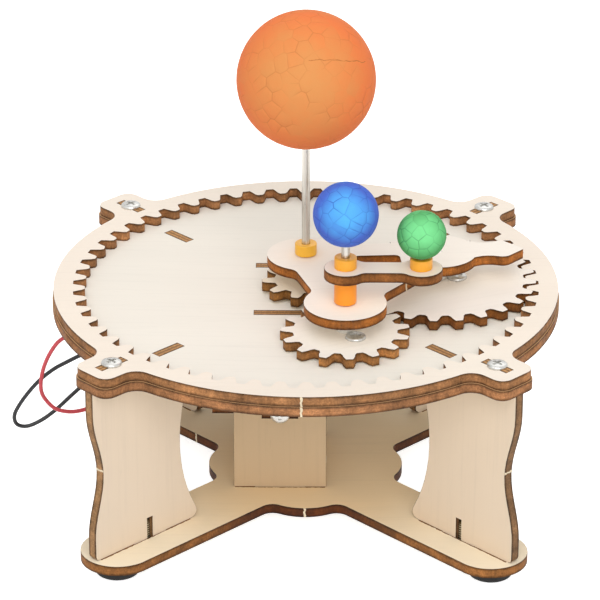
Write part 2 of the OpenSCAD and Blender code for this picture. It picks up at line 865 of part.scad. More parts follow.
// Bridge: three lobes over the gear centres, a window and a pointer
module bridge_blank() {
    lobes = [[0, 0], earth_at, planet_at];
    neck_r = pointer_reach - 12;
    flare_r = pointer_reach - 6;
    neck_half = pointer_half * 0.6;
    lobe_edge = planet_orbit + lobe_r * 0.5;
    pointer_turn = planet_angle + 0.8;
    radii = [lobe_r, earth_lobe_r, lobe_r];
    halves = [inner_web_half, outer_web_half, back_web_half];
    for (i = [0:2]) {
        k = (i + 1) % 3;
        translate(lobes[i])
            sheet(bridge_z)
                circle(radii[i]);
        sheet(bridge_z)
            polygon(concat(web_side(lobes[k], lobes[i], radii[k], radii[i], halves[i], web_fillet),
                [(lobes[0] + lobes[1] + lobes[2]) / 3]));
    }
    rotate(pointer_turn)
        sheet(bridge_z)
            polygon(rounded([[lobe_edge, -lobe_r * 0.75, 0], [neck_r, -neck_half, 8],
                [flare_r, -pointer_half, 3], [pointer_reach, -0.5, 0.6], [flare_r, pointer_half, 0.8],
                [neck_r, neck_half, 8], [lobe_edge, lobe_r * 0.75, 0], [planet_orbit, 0, 0]]));
}

// Side of the bridge's window, set in from the line between two lobes
function window_side(a, b, inset, from_a, from_b, trim) =
    let (u = unit(b - a), v = [u[1], -u[0]],
        p = a + u * from_a + v * inset, q = b - u * from_b + v * inset)
    [[p[0], p[1], trim], [q[0], q[1], trim]];

module bridge() {
    trim = 1.6;
    keep = lobe_r + 2.8;
    window = concat(window_side([0, 0], planet_at, 2, keep + 0.6, lobe_r + 0.2, trim),
        window_side(planet_at, earth_at, 2.6, keep, keep, trim),
        window_side(earth_at, [0, 0], 2.6, keep, keep, trim));
    color(wood)
        difference() {
            bridge_blank();
            holes(bridge_z)
                polygon(rounded(window, 3));
            holes(bridge_z)
                circle(rod_d / 2 + run_clear);
            translate(earth_at)
                holes(bridge_z)
                    circle(rod_d / 2 + run_clear);
            translate(planet_at)
                holes(bridge_z)
                    circle(rod_d / 2);
        }
}

module planet_axle() {
    translate(planet_at)
        rod(gear_z + axial_gap, bridge_top);
}

module planet_spacer() {
    translate(planet_at)
        sleeve(gear_top + axial_gap, bridge_gap - axial_gap, spacer_d, white);
}

// Gears that turn on or with a rod, each with a screw beside its middle
screw_off = head_d / 2 + spacer_d / 2 + 0.4;
planet_screw_at = polar(screw_off, 6);
earth_screw_at = polar(screw_off, -58);

module planet_gear() {
    color(wood)
        translate(planet_at)
            difference() {
                gear(planet_teeth, planet_turn, gear_z, rod_d / 2 + run_clear);
                screw_hole(planet_screw_at);
            }
}

module earth_gear() {
    color(wood)
        translate(earth_at)
            difference() {
                gear(earth_teeth, earth_phase, gear_z, rod_d / 2);
                screw_hole(earth_screw_at);
            }
}

module screw_hole(at) {
    translate(concat(at, gear_z - 1))
        cylinder(d = screw_d, h = ply_t + 2);
}

module gear_screw(at) {
    translate(concat(at, gear_top))
        screw(ply_t);
}

module planet_screw() {
    translate(planet_at)
        gear_screw(planet_screw_at);
}

module earth_screw() {
    translate(earth_at)
        gear_screw(earth_screw_at);
}

// Earth's shaft, with the Moon arm clamped between sleeves
earth_ball_z = arm_top + sleeve_h + earth_rod + earth_d / 2;
moon_ball_z = arm_top + moon_sleeve_h + moon_d / 2;

module earth_shaft() {
    translate(earth_at)
        rod(gear_z, earth_ball_z);
}

module earth_spacer() {
    translate(earth_at)
        sleeve(gear_top, bridge_gap - axial_gap, spacer_d, white);
}

module earth_sleeve_low() {
    translate(earth_at)
        sleeve(bridge_top + axial_gap, arm_lift - axial_gap);
}

module moon_arm() {
    fillet = 3;
    up = web_side(earth_at, moon_at, arm_lobe_r, arm_lobe_r, arm_half, fillet);
    down = web_side(moon_at, earth_at, arm_lobe_r, arm_lobe_r, arm_half, fillet);
    inner = len(up) - 2;
    bar = concat([for (i = [1:inner]) up[i]], [for (i = [1:inner]) down[i]]);
    color(wood)
        difference() {
            union() {
                for (p = [earth_at, moon_at])
                    translate(p)
                        sheet(arm_z)
                            circle(arm_lobe_r);
                sheet(arm_z)
                    polygon(bar);
            }
            for (p = [earth_at, moon_at])
                translate(p)
                    holes(arm_z)
                        circle(d = rod_d);
        }
}

module earth_sleeve_top() {
    translate(earth_at)
        sleeve(arm_top, sleeve_h);
}

module earth_ball() {
    translate(earth_at)
        ball(earth_ball_z, earth_d, earth_d / 2, "royalblue");
}

module moon_rod() {
    translate(moon_at)
        rod(arm_z, moon_ball_z);
}

module moon_sleeve() {
    translate(moon_at)
        sleeve(arm_top, moon_sleeve_h);
}

module moon_ball() {
    translate(moon_at)
        ball(moon_ball_z, moon_d, moon_d / 2, "mediumseagreen");
}

// Sun's shaft, driven by the gearbox
sun_sleeve_z = bridge_top + axial_gap;
sun_ball_z = sun_sleeve_z + sleeve_h + sun_rod + sun_d / 2;
spindle_z = gearbox_top - spindle_deep + axial_gap;

module motor_spindle() {
    color("white")
        difference() {
            translate([0, 0, spindle_z])
                cylinder(d = spindle_d, h = deck_z - spindle_gap - spindle_z);
            translate([0, 0, spindle_z + shaft_seat])
                cylinder(d = rod_d, h = leg_h);
        }
}

module sun_shaft() {
    rod(spindle_z + shaft_seat, sun_ball_z);
}

module sun_gear() {
    color(wood)
        gear(sun_teeth, sun_turn, sun_gear_z, rod_d / 2);
}

module sun_spacer() {
    top = bridge_z - axial_gap;
    sleeve(sun_gear_z + ply_t, top - sun_gear_z - ply_t, spacer_d, white);
}

module sun_sleeve() {
    sleeve(sun_sleeve_z, sleeve_h);
}

module sun_ball() {
    ball(sun_ball_z, sun_d, sun_d / 2, "coral");
}

base_plate();
leg_front_left();
leg_front_right();
leg_back_left();
leg_back_right();
foot_pads();
base_screws();
deck_plate();
ring_gear();
deck_screws();
front_panel();
back_panel();
motor_shelf();
panel_screws();
motor_gearbox();
motor_can();
motor_cap();
motor_strap();
motor_terminals();
motor_screws();
battery_box();
battery_lid();
battery_cells();
switch_slider();
red_wire();
black_wire();
bridge();
planet_axle();
planet_spacer();
planet_gear();
planet_screw();
earth_gear();
earth_screw();
earth_shaft();
earth_spacer();
earth_sleeve_low();
moon_arm();
earth_sleeve_top();
earth_ball();
moon_rod();
moon_sleeve();
moon_ball();
motor_spindle();
sun_shaft();
sun_gear();
sun_spacer();
sun_sleeve();
sun_ball();
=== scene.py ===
import bpy
import bmesh
import math
import random
from mathutils import Matrix, Vector, noise


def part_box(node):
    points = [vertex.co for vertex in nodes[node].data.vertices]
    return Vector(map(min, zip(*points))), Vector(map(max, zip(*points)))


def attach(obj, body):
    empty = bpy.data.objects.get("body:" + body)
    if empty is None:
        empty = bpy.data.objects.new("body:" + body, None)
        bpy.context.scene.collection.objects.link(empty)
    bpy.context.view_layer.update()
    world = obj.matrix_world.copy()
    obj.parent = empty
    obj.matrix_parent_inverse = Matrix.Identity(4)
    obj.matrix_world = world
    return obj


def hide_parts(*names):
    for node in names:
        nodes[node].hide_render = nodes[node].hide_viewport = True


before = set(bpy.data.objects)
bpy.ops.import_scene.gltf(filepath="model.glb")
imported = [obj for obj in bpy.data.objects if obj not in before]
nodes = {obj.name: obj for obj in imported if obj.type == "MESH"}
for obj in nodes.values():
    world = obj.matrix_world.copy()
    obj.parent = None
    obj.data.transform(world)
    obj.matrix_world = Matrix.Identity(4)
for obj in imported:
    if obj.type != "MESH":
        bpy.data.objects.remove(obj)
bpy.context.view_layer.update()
scene = bpy.context.scene
scene.view_settings.view_transform = "Standard"
print("frame loaded with", len(nodes), "nodes")

# camera where the photograph was taken from
cameraView = {
    "place": (0.007546, -0.99625, 0.53769),
    "target": (-0.001704, -0.000016, 0.061014),
    "roll": 0.065,  # degrees
    "lens": 225.71,  # millimetres
    "sensor": 36.0,
    "near": 0.02,
    "far": 30,
}


def aimedAt(place, target):
    place = Vector(place)
    turn = (Vector(target) - place).to_track_quat("-Z", "Y")
    return Matrix.Translation(place) @ turn.to_matrix().to_4x4()


def makeCamera(view):
    data = bpy.data.cameras.new("photoCamera")
    data.sensor_fit = "HORIZONTAL"
    data.sensor_width = view["sensor"]
    data.lens = view["lens"]
    data.clip_start = view["near"]
    data.clip_end = view["far"]
    camera = bpy.data.objects.new("photoCamera", data)
    scene.collection.objects.link(camera)
    roll = Matrix.Rotation(math.radians(view["roll"]), 4, "Z")
    camera.matrix_world = aimedAt(view["place"], view["target"]) @ roll
    scene.camera = camera


makeCamera(cameraView)
print("camera set")


# small helpers for shader trees and pieces
def hexColour(code):
    parts = [int(code[i:i + 2], 16) / 255 for i in (0, 2, 4)]
    return tuple(p / 12.92 if p <= 0.04045 else ((p + 0.055) / 1.055) ** 2.4 for p in parts)


def scaled(colour, share):
    return tuple(c * share for c in colour)


def startMaterial(name, colour, roughness, metallic=0.0):
    material = bpy.data.materials.new(name)
    material.use_nodes = True
    tree = material.node_tree
    shader = tree.nodes["Principled BSDF"]
    shader.inputs["Base Color"].default_value = (*colour, 1)
    shader.inputs["Roughness"].default_value = roughness
    shader.inputs["Metallic"].default_value = metallic
    return material, tree, shader


def addNode(tree, kind, inputs=None, **settings):
    node = tree.nodes.new(kind)
    for key, value in settings.items():
        setattr(node, key, value)
    for key, value in (inputs or {}).items():
        if hasattr(value, "is_output"):
            tree.links.new(value, node.inputs[key])
        else:
            node.inputs[key].default_value = value
    return node


def addPlace(tree):
    return addNode(tree, "ShaderNodeTexCoord").outputs["Object"]


def addMath(tree, operation, a, b=0.0):
    return addNode(tree, "ShaderNodeMath", {0: a, 1: b}, operation=operation).outputs[0]


def addVector(tree, operation, a, b):
    return addNode(tree, "ShaderNodeVectorMath", {0: a, 1: b}, operation=operation).outputs[0]


def addDot(tree, vector, direction):
    node = addNode(tree, "ShaderNodeVectorMath", {0: vector, 1: direction}, operation="DOT_PRODUCT")
    return node.outputs["Value"]


def addNoise(tree, vector, scale, detail=3.0, rough=0.5):
    inputs = {"Vector": vector, "Scale": scale, "Detail": detail, "Roughness": rough}
    return addNode(tree, "ShaderNodeTexNoise", inputs).outputs[0]


def addRamp(tree, factor, stops):
    node = addNode(tree, "ShaderNodeValToRGB", {0: factor})
    ramp = node.color_ramp
    while len(ramp.elements) < len(stops):
        ramp.elements.new(0.5)
    for element, (place, colour) in zip(ramp.elements, stops):
        element.position = place
        element.color = (*colour, 1)
    return node.outputs[0]


def addMix(tree, factor, a, b, blend="MIX"):
    mix = addNode(tree, "ShaderNodeMix", {0: factor, 6: a, 7: b}, data_type="RGBA", blend_type=blend)
    return mix.outputs[2]


# brighter or darker by a grey that runs through these stops, each a place and a brightness
def addShade(tree, colour, factor, stops):
    greys = addRamp(tree, factor, [(place, (bright,) * 3) for place, bright in stops])
    return addMix(tree, 1.0, colour, greys, "MULTIPLY")


# the colour of a plain material, darker where the factor is low
def addTone(tree, shader, factor, base, dark):
    tone = addRamp(tree, factor, [(0.3, scaled(base, dark)), (0.7, base)])
    tree.links.new(tone, shader.inputs["Base Color"])


def addBump(tree, shader, height, strength, distance):
    bump = addNode(tree, "ShaderNodeBump", {"Height": height, "Strength": strength, "Distance": distance})
    tree.links.new(bump.outputs[0], shader.inputs["Normal"])


def addPiece(name, mesh, material, body, replaced=(), smooth=True):
    mesh.polygons.foreach_set("use_smooth", [smooth] * len(mesh.polygons))
    mesh.materials.append(material)
    piece = bpy.data.objects.new(name, mesh)
    scene.collection.objects.link(piece)
    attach(piece, body)
    if replaced:
        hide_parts(*replaced)
    return piece


def polarSpot(reach, degrees, height):
    a = math.radians(degrees)
    return (reach * math.cos(a), reach * math.sin(a), height)


def middleHeight(node):
    low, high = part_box(node)
    return (low.z + high.z) / 2


# the two wires, routed in millimetres as the solids are, under a deck at deckHeight
wireLook = {"diameter": 0.0012, "red": "d9505a", "black": "1d1e22", "roughness": 0.42, "mottle": 900,
            "dark": 0.78, "relief": 0.0001, "steps": 5, "sides": 4, "deckHeight": 0.06}
redRoute = [(-56.5, -6, 41.7), (-59, -6, 43.5), (-62, -5.6, 46.5), (-65.5, -5, 49.4),
            (-69, -4.6, 50.4), (-72.4, -4.2, 48.6), (-75.2, -4, 44.6), (-77.2, -4, 40),
            (-78.2, -4, 35.4), (-78.2, -3.8, 31.6), (-77, -3, 28.4), (-74.4, -2.6, 25.4),
            (-71, -1.4, 23.8), (-67.6, -0.2, 23.4), (-64.2, 1.6, 23.8), (-59.6, 5, 25.6),
            (-54, 9.4, 29), (-47, 13.6, 34.4), (-40, 17.2, 40.4), (-34, 20, 45.6),
            (-29.6, 21.6, 48.4), (-27, 22.6, 49), (-25.4, 24.15, 49)]
blackRoute = [(-56.5, 6, 41.7), (-59.4, 5.8, 41.6), (-63, 5, 41), (-67, 4.4, 39.6),
              (-71, 4, 37.6), (-75, 4, 35.2), (-79, 4, 31.8), (-82.6, 4, 27.6),
              (-85.6, 4, 23.2), (-87.2, 4, 19.6), (-86.6, 4.2, 16.6), (-83.6, 4.8, 15.6),
              (-79.4, 6, 17), (-75, 7.6, 19.8), (-70.4, 9.6, 23.6), (-65.6, 11.6, 27.4),
              (-60, 13.6, 31.4), (-53, 15.8, 36), (-46, 17.6, 40.6), (-39.6, 19.4, 45.4),
              (-34, 21.4, 50), (-29.6, 22.6, 52.4), (-27, 23.2, 53), (-25.4, 24.15, 53)]


def smoothPath(points, steps):
    rise = Vector((0, 0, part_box("deck_plate")[0].z - wireLook["deckHeight"]))
    p = [Vector(q) / 1000 + rise for q in points]
    p = [2 * p[0] - p[1]] + p + [2 * p[-1] - p[-2]]
    path = []
    for a, b, c, d in zip(p, p[1:], p[2:], p[3:]):
        for k in range(steps):
            t = k / steps
            path.append(0.5 * (2 * b + (c - a) * t + (2 * a - 5 * b + 4 * c - d) * t * t
                               + (3 * b - a - 3 * c + d) * t ** 3))
    return path + [p[-2]]


def wireMaterial(name, code):
    base = hexColour(code)
    material, tree, shader = startMaterial(name, base, wireLook["roughness"])
    mottle = addNoise(tree, addPlace(tree), wireLook["mottle"], 4)
    addTone(tree, shader, mottle, base, wireLook["dark"])
    addBump(tree, shader, mottle, 0.15, wireLook["relief"])
    return material


def makeWire(name, node, points, code):
    path = smoothPath(points, wireLook["steps"])
    curve = bpy.data.curves.new(name, "CURVE")
    curve.dimensions = "3D"
    curve.bevel_depth = wireLook["diameter"] / 2
    curve.bevel_resolution = wireLook["sides"]
    curve.use_fill_caps = True
    spline = curve.splines.new("POLY")
    spline.points.add(len(path) - 1)
    for point, place in zip(spline.points, path):
        point.co = (*place, 1)
    spline.use_smooth = True
    wire = bpy.data.objects.new(name, curve)
    scene.collection.objects.link(wire)
    curve.materials.append(wireMaterial(name + "Jacket", code))
    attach(wire, "frame")
    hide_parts(node)


makeWire("redWire", "red_wire", redRoute, wireLook["red"])
makeWire("blackWire", "black_wire", blackRoute, wireLook["black"])

# plywood: pale veneer on the faces, scorched layers on the laser-cut edges
plyLook = {
    "thickness": 0.003, "roughness": 0.62, "shine": 0.2, "relief": 0.00015, "faceFrom": 0.97, "flare": 1.5,
    "fibres": (30.0, 800.0), "bands": (5.0, 48.0), "pores": (120.0, 1500.0), "through": 300.0,
    "broad": 42, "blotches": 190, "wander": 420, "stray": 0.24, "streaks": 1000, "flecks": 1900,
    # brightness through a cut edge, from one face to the other
    "layers": [(0.0, 0.28), (0.11, 0.46), (0.24, 1.0), (0.4, 1.18), (0.5, 1.02), (0.6, 1.18),
               (0.76, 1.0), (0.89, 0.46), (1.0, 0.28)],
}
# tab ends in the slots of the deck: bare layers inside a scorched border
endLook = {
    "tone": "a87d50", "above": middleHeight("deck_plate"),
    "layers": [(0.0, 0.2), (0.1, 0.55), (0.2, 1.15), (0.36, 1.2), (0.44, 0.6), (0.56, 0.6),
               (0.64, 1.2), (0.8, 1.15), (0.9, 0.55), (1.0, 0.2)],
}
# painted shade: dark lines on the base, round the feet of legs and panels, in the gaps where they stand
lineLook = {"legMiddle": 0.066, "legHalf": 0.0174, "trim": 0.0002, "fray": 0.0008, "frayScale": 700,
            "dark": 0.8}
slant = math.sqrt(0.5)


def legLine(along):
    return (-along[1], along[0], 0), 0.0, along, lineLook["legMiddle"], lineLook["legHalf"]


def panelLine(panel):
    low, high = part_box(panel)
    middle = (low + high) / 2
    return (0, 1, 0), middle.y, (1, 0, 0), middle.x, (high.x - low.x) / 2 - lineLook["trim"]


footLines = [legLine((x, y, 0)) for x in (-slant, slant) for y in (-slant, slant)]
footLines += [panelLine(panel) for panel in ("front_panel", "back_panel")]
plySheets = {
    # painted shade: the base is browner towards its middle, under the deck
    "base": {"nodes": ["base_plate"], "normal": (0, 0, 1), "grain": (1, 0.02, 0),
             "face": "f3e5cb", "edge": "8a5a2e", "flare": 1.6, "lines": footLines,
             "underDeckShade": {"from": 0.03, "to": 0.062, "face": "ecd1a8", "edge": "552b0d"}},
    "deck": {"nodes": ["deck_plate"], "normal": (0, 0, 1), "grain": (1, -0.03, 0),
             "face": "f4eee2", "edge": "9b6a44", "ledge": (0.0692, "c79b6c")},
    "ring": {"nodes": ["ring_gear"], "normal": (0, 0, 1), "grain": (1, 0.03, 0),
             "face": "f8ecdd", "edge": "976942"},
    # painted shade: the planet gear's edges are darker than the earth gear's
    "planetGear": {"nodes": ["planet_gear"], "normal": (0, 0, 1), "grain": (0.9, 0.4, 0),
                   "face": "f8efe4", "edge": "7d4c20"},
    "earthGear": {"nodes": ["earth_gear"], "normal": (0, 0, 1), "grain": (0.9, 0.4, 0),
                  "face": "f6eee3", "edge": "a06d3c"},
    "sunGear": {"nodes": ["sun_gear"], "normal": (0, 0, 1), "grain": (0.7, -0.7, 0),
                "face": "eedfca", "edge": "946430"},
    "bridge": {"nodes": ["bridge"], "normal": (0, 0, 1), "grain": (1, 0.1, 0),
               "face": "fbf3e7", "edge": "9d5d24"},
    "arm": {"nodes": ["moon_arm"], "normal": (0, 0, 1), "grain": (1, 0, 0),
            "face": "f5e8d8", "edge": "8a5527"},
    "shelf": {"nodes": ["motor_shelf"], "normal": (0, 0, 1), "grain": (1, 0, 0),
              "face": "ead2b0", "edge": "74451f"},
    "legFalling": {"nodes": ["leg_front_left", "leg_back_right"], "normal": (slant, -slant, 0),
                   "grain": (0, 0, 1), "face": "e9d6bf", "edge": "99734d", "ends": endLook},
    "legRising": {"nodes": ["leg_front_right", "leg_back_left"], "normal": (slant, slant, 0),
                  "grain": (0, 0, 1), "face": "ead6bd", "edge": "7a5a3c", "ends": endLook},
    # painted shade: the panels' faces are a darker copy of the legs' plywood, as they stand under the deck
    "frontPanel": {"nodes": ["front_panel"], "normal": (0, 1, 0), "grain": (0, 0, 1),
                   "face": "d7bc98", "edge": "74451f", "ends": endLook},
    "backPanel": {"nodes": ["back_panel"], "normal": (0, 1, 0), "grain": (0, 0, 1),
                  "face": "d7bc98", "edge": "74451f", "ends": endLook},
}


# where a point lies in its sheet: through it, with and across the grain, and out from the middle
def addSheetPlaces(tree, sheet):
    normal = Vector(sheet["normal"]).normalized()
    grain = Vector(sheet["grain"]).normalized()
    spot = addPlace(tree)
    level = addVector(tree, "MULTIPLY", spot, (1, 1, 0))
    return {
        "normal": normal,
        "spot": spot,
        "depth": addDot(tree, spot, normal),
        "along": addDot(tree, spot, grain),
        "across": addDot(tree, spot, normal.cross(grain)),
        "radius": addNode(tree, "ShaderNodeVectorMath", {0: level}, operation="LENGTH").outputs["Value"],
        "outward": addNode(tree, "ShaderNodeNewGeometry").outputs["True Normal"],
    }


def addLedge(tree, veneer, at, reach, ledgeColour):
    # a darker colour on the upper face outside this radius, the strip under the edge of the sheet above
    upper = addMath(tree, "GREATER_THAN", addDot(tree, at["outward"], at["normal"]), 0.5)
    onLedge = addMath(tree, "MULTIPLY", upper, addMath(tree, "GREATER_THAN", at["radius"], reach))
    return addMix(tree, onLedge, veneer, (*hexColour(ledgeColour), 1))


# painted shade: dark lines on the base along the feet of legs and panels
def addFootLines(tree, veneer, at, lines, footShade):
    fray = addNoise(tree, at["spot"], lineLook["frayScale"], 2, 0.7)
    fray = addMath(tree, "MULTIPLY", fray, lineLook["fray"])
    for across, offset, along, middle, half in lines:
        side = addMath(tree, "SUBTRACT", addDot(tree, at["spot"], across), offset)
        side = addMath(tree, "SUBTRACT", addMath(tree, "ABSOLUTE", side), fray)
        run = addMath(tree, "SUBTRACT", addDot(tree, at["spot"], along), middle)
        beside = addMath(tree, "LESS_THAN", side, plyLook["thickness"] / 2)
        inside = addMath(tree, "LESS_THAN", addMath(tree, "ABSOLUTE", run), half)
        veneer = addMix(tree, addMath(tree, "MULTIPLY", beside, inside), veneer, (*footShade, 1))
    return veneer


def addUnderDeckShade(tree, colour, at, sheet, part):
    # painted shade: browner towards the middle of the sheet, where it lies under the deck
    underDeckShade = sheet["underDeckShade"]
    share = addNode(tree, "ShaderNodeMapRange", {0: at["radius"], 1: underDeckShade["from"], 2: underDeckShade["to"]},
                    interpolation_type="SMOOTHSTEP").outputs[0]
    tint = tuple(inner / own for inner, own in zip(hexColour(underDeckShade[part]), hexColour(sheet[part])))
    return addMix(tree, 1.0, colour, addMix(tree, share, (*tint, 1), (1, 1, 1, 1)), "MULTIPLY")


def addTabEnds(tree, burnt, at, ends, level):
    tone = hexColour(ends["tone"])
    bare = addRamp(tree, level, [(place, scaled(tone, share)) for place, share in ends["layers"]])
    onTop = addMath(tree, "GREATER_THAN", addDot(tree, at["outward"], (0, 0, 1)), 0.9)
    raised = addMath(tree, "GREATER_THAN", addDot(tree, at["spot"], (0, 0, 1)), ends["above"])
    return addMix(tree, addMath(tree, "MULTIPLY", onTop, raised), burnt, bare)


def addVeneer(tree, sheet, at):
    face = hexColour(sheet["face"])

    def stretched(spread):
        ways = zip(("along", "across", "depth"), (*spread, plyLook["through"]))
        parts = {k: addMath(tree, "MULTIPLY", at[way], share) for k, (way, share) in enumerate(ways)}
        return addNode(tree, "ShaderNodeCombineXYZ", parts).outputs[0]

    # fibres run with the grain, broad bands follow the growth rings, a few short pores lie between
    fibres = addNoise(tree, stretched(plyLook["fibres"]), 1.0, 4, 0.6)
    bands = addNoise(tree, stretched(plyLook["bands"]), 1.0, 2)
    pores = addNoise(tree, stretched(plyLook["pores"]), 1.0, 2, 0.6)
    veneer = addRamp(tree, bands, [(0.3, scaled(face, 0.97)), (0.65, face)])
    veneer = addShade(tree, veneer, fibres, [(0.52, 1.0), (0.8, 0.945)])
    veneer = addShade(tree, veneer, pores, [(0.7, 1.0), (0.82, 0.9)])
    if "ledge" in sheet:
        veneer = addLedge(tree, veneer, at, *sheet["ledge"])
    # painted shade round the feet of legs and panels
    if "lines" in sheet:
        footShade = scaled(hexColour(sheet["edge"]), lineLook["dark"])
        veneer = addFootLines(tree, veneer, at, sheet["lines"], footShade)
    # painted shade under the deck
    if "underDeckShade" in sheet:
        veneer = addUnderDeckShade(tree, veneer, at, sheet, "face")
    return veneer, fibres


def addScorch(tree, sheet, at):
    edge = hexColour(sheet["edge"])
    flare = sheet.get("flare", plyLook["flare"])
    low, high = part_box(sheet["nodes"][0])
    # level runs from 0 at one face to 1 at the other, and wanders a little
    stray = plyLook["stray"]
    wander = addMath(tree, "MULTIPLY", addNoise(tree, at["spot"], plyLook["wander"], 3), stray)
    level = addMath(tree, "SUBTRACT", at["depth"], ((low + high) / 2).dot(at["normal"]))
    level = addMath(tree, "MULTIPLY", level, 1 / plyLook["thickness"])
    level = addMath(tree, "ADD", addMath(tree, "ADD", level, wander), 0.5 - stray / 2)
    # uneven browns, black along both borders, with fine streaks across and flecks of bare fibre
    browns = [(0.3, scaled(edge, 0.55)), (0.5, edge), (0.7, scaled(edge, flare))]
    burnt = addRamp(tree, addNoise(tree, at["spot"], plyLook["blotches"], 5, 0.68), browns)
    burnt = addShade(tree, burnt, level, plyLook["layers"])
    if "ends" in sheet:
        burnt = addTabEnds(tree, burnt, at, sheet["ends"], level)
    lift = addNode(tree, "ShaderNodeVectorMath", {0: tuple(at["normal"]), "Scale": at["depth"]},
                   operation="SCALE").outputs[0]
    broad = addNoise(tree, at["spot"], plyLook["broad"], 2)
    streaks = addNoise(tree, addVector(tree, "SUBTRACT", at["spot"], lift), plyLook["streaks"], 3, 0.65)
    flecks = addNoise(tree, at["spot"], plyLook["flecks"], 3, 0.7)
    burnt = addShade(tree, burnt, broad, [(0.36, 0.84), (0.58, 1.12)])
    burnt = addShade(tree, burnt, streaks, [(0.32, 0.86), (0.68, 1.12)])
    burnt = addShade(tree, burnt, flecks, [(0.3, 0.66), (0.7, 1.3)])
    # painted shade under the deck
    if "underDeckShade" in sheet:
        burnt = addUnderDeckShade(tree, burnt, at, sheet, "edge")
    return burnt, streaks


def plyMaterial(name, sheet):
    material, tree, shader = startMaterial(name, hexColour(sheet["face"]), plyLook["roughness"])
    shader.inputs["Specular IOR Level"].default_value = plyLook["shine"]
    at = addSheetPlaces(tree, sheet)
    veneer, fibres = addVeneer(tree, sheet, at)
    burnt, streaks = addScorch(tree, sheet, at)
    facing = addMath(tree, "ABSOLUTE", addDot(tree, at["outward"], at["normal"]))
    isFace = addMath(tree, "GREATER_THAN", facing, plyLook["faceFrom"])
    tree.links.new(addMix(tree, isFace, burnt, veneer), shader.inputs["Base Color"])
    height = addMath(tree, "ADD", addMath(tree, "MULTIPLY", fibres, isFace), streaks)
    addBump(tree, shader, height, 0.12, plyLook["relief"])
    return material


# plastics, rubber and metals
plainLook = {"cloud": 120, "relief": 0.0001, "smoother": 0.7, "rougher": 1.5}


def plasticMaterial(name, code, roughness, speckle=0.12, grain=2200):
    base = hexColour(code)
    material, tree, shader = startMaterial(name, base, roughness)
    spot = addPlace(tree)
    addTone(tree, shader, addNoise(tree, spot, plainLook["cloud"], 2), base, 1 - speckle)
    addBump(tree, shader, addNoise(tree, spot, grain, 3), 0.06, plainLook["relief"])
    return material


def metalMaterial(name, code, roughness, stretch, dark=0.7):
    base = hexColour(code)
    material, tree, shader = startMaterial(name, base, roughness, 1.0)
    drawn = addNode(tree, "ShaderNodeMapping", {0: addPlace(tree), 3: stretch}).outputs[0]
    lines = addNoise(tree, drawn, 1.0, 4)
    addTone(tree, shader, lines, base, dark)
    ends = {3: roughness * plainLook["smoother"], 4: roughness * plainLook["rougher"]}
    rough = addNode(tree, "ShaderNodeMapRange", {0: lines, 1: 0.2, 2: 0.8, **ends})
    tree.links.new(rough.outputs[0], shader.inputs["Roughness"])
    return material


finishes = {
    "orangeSleeve": plasticMaterial("orangeSleeve", "ffb02f", 0.36, 0.1),
    "deepSleeve": plasticMaterial("deepSleeve", "ff9a1e", 0.36, 0.1),
    "amberSleeve": plasticMaterial("amberSleeve", "ffc038", 0.36, 0.1),
    "steelRod": metalMaterial("steelRod", "dedad2", 0.3, (1500, 1500, 90), 0.6),
    "brightScrew": metalMaterial("brightScrew", "d4d3cf", 0.3, (900, 900, 900), 0.8),
    # painted shade: a darker copy of the screw metal, for the screws in the dark slots of the legs;
    # painted highlight: a paler copy, for the thread crests
    "paintedShadeScrew": metalMaterial("paintedShadeScrew", "5d4f36", 0.4, (900, 900, 900), 0.7),
    "paintedHighlightThread": metalMaterial("paintedHighlightThread", "e2d6b8", 0.36, (900, 900, 900), 0.8),
    "rubberFoot": plasticMaterial("rubberFoot", "1a1a1b", 0.75, 0.3),
    "gearboxYellow": plasticMaterial("gearboxYellow", "f2bd1d", 0.4),
    "canSteel": metalMaterial("canSteel", "b9babd", 0.3, (60, 1800, 1800)),
    "whitePlastic": plasticMaterial("whitePlastic", "ece9e2", 0.45, 0.06),
    "strapPlastic": plasticMaterial("strapPlastic", "dfe1e3", 0.3, 0.08),
    "tagBrass": metalMaterial("tagBrass", "c9a55a", 0.3, (800, 800, 800)),
    "solderGrey": metalMaterial("solderGrey", "c2c3c6", 0.34, (700, 700, 700)),
    "boxBlack": plasticMaterial("boxBlack", "1b1b1d", 0.5, 0.25),
    "cellWrap": plasticMaterial("cellWrap", "55803a", 0.32),
    "bareFibre": plasticMaterial("bareFibre", "f4e3c2", 0.7, 0.2, 1500),
}
plainNodes = {
    "orangeSleeve": ["earth_sleeve_top", "moon_sleeve"],
    "deepSleeve": ["earth_sleeve_low"],
    "amberSleeve": ["sun_sleeve"],
    "steelRod": ["planet_axle", "earth_shaft", "moon_rod", "sun_shaft"],
    "brightScrew": ["deck_screws", "panel_screws", "motor_screws", "planet_screw", "earth_screw"],
    # painted shade: the base screws sit in the dark slots of the legs
    "paintedShadeScrew": ["base_screws"],
    "gearboxYellow": ["motor_gearbox"],
    "canSteel": ["motor_can"],
    "whitePlastic": ["motor_cap", "motor_spindle", "switch_slider", "planet_spacer", "earth_spacer",
                     "sun_spacer"],
    "strapPlastic": ["motor_strap"],
    "tagBrass": ["motor_terminals"],
    "boxBlack": ["battery_box", "battery_lid"],
    "cellWrap": ["battery_cells"],
}
softEdge = {"wood": 0.00012, "other": 0.0002, "segments": 2, "fromAngle": 40, "weld": 0.000002}


def dressNode(name, material, width):
    node = nodes[name]
    node.data.materials.clear()
    node.data.materials.append(material)
    weld = node.modifiers.new("weld", "WELD")
    weld.merge_threshold = softEdge["weld"]
    bevel = node.modifiers.new("softEdge", "BEVEL")
    bevel.width = width
    bevel.segments = softEdge["segments"]
    bevel.limit_method = "ANGLE"
    bevel.angle_limit = math.radians(softEdge["fromAngle"])
    node.modifiers.new("evenNormals", "WEIGHTED_NORMAL")


